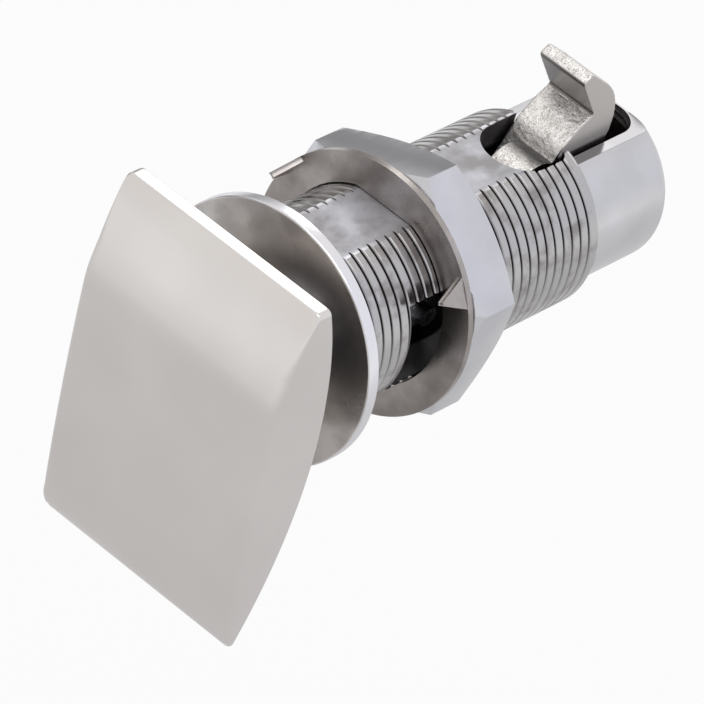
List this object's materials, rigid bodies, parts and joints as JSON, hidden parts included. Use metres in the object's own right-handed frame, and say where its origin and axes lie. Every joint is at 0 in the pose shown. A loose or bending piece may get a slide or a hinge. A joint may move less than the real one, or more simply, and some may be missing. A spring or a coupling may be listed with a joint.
{
  "type": "pull latch",
  "caption": "Pull latch: rectangular pull plate and round rose on a threaded barrel with a spurred washer and hexagon nut; pulling the plate folds the claw hook into the barrel.",
  "frame": {"origin": "centre of the rose's rear face, where it lies on the door, on the barrel's axis", "axes": "+X to the right seen from the front, +Y along the barrel from the pull plate through the door to the hook, +Z the side on which the hook stands up"},
  "size_m": [0.032, 0.0752, 0.0522],
  "materials": {
    "polished_steel": "machined and polished, nearly mirror bright, with light turning lines",
    "polished_plate": "warm polished stainless steel, soft mirror",
    "turned_steel": "turned stainless steel, fine rings",
    "cast_steel": "fine investment casting, satin",
    "hook_casting": "investment casting, pebbled front faces and tumbled smooth sides",
    "stamped_steel": "stamped sheet, lightly polished",
    "spring_wire": "drawn stainless spring wire",
    "black_steel": "black oxide",
    "seal_rubber": "matt black nitrile"
  },
  "bodies": {
    "barrel": {"barrel": "polished_steel", "front_bush": "turned_steel", "stem_seal": "seal_rubber", "spring_washer": "turned_steel", "end_plug": "black_steel", "hook_cage": "cast_steel", "cage_set_screw": "black_steel", "hook_pivot_pin": "turned_steel", "pivot_spacer": "turned_steel", "return_spring": "spring_wire"},
    "plunger": {"pull_plate": "polished_plate", "stem_collar": "turned_steel", "pull_stem": "turned_steel", "guide_block": "turned_steel", "guide_pin": "turned_steel", "clevis": "cast_steel", "clevis_cross_pin": "turned_steel", "drive_pin": "turned_steel"},
    "hook": {"hook": "hook_casting"},
    "washer": {"spur_washer": "stamped_steel"},
    "nut": {"hex_nut": "polished_steel"}
  },
  "joints": [
    {"name": "knob_pull", "type": "slide", "parent": "barrel", "child": "plunger", "axis": [0, -1, 0], "range_m": [0, 0.00586], "stiffness_N_per_m": 800, "springref_m": -0.006, "deforming": ["return_spring"]},
    {"name": "hook_swing", "type": "hinge", "parent": "barrel", "child": "hook", "pos_m": [0, 0.03803, 0.0046], "axis": [-1, 0, 0], "range_deg": [0, 57.01]},
    {"name": "washer_slide", "type": "slide", "parent": "barrel", "child": "washer", "axis": [0, 1, 0], "range_m": [-0.0105, 0.015]},
    {"name": "nut_turn", "type": "hinge", "parent": "washer", "child": "nut", "pos_m": [0, 0.01992, 0], "axis": [0, 1, 0], "range_deg": [-2520, 3600]}
  ],
  "couplings": [
    {"joint": "hook_swing", "follows": "knob_pull", "rad_per_m": 169.65},
    {"joint": "washer_slide", "follows": "nut_turn", "m_per_rad": 0.00023873}
  ]
}
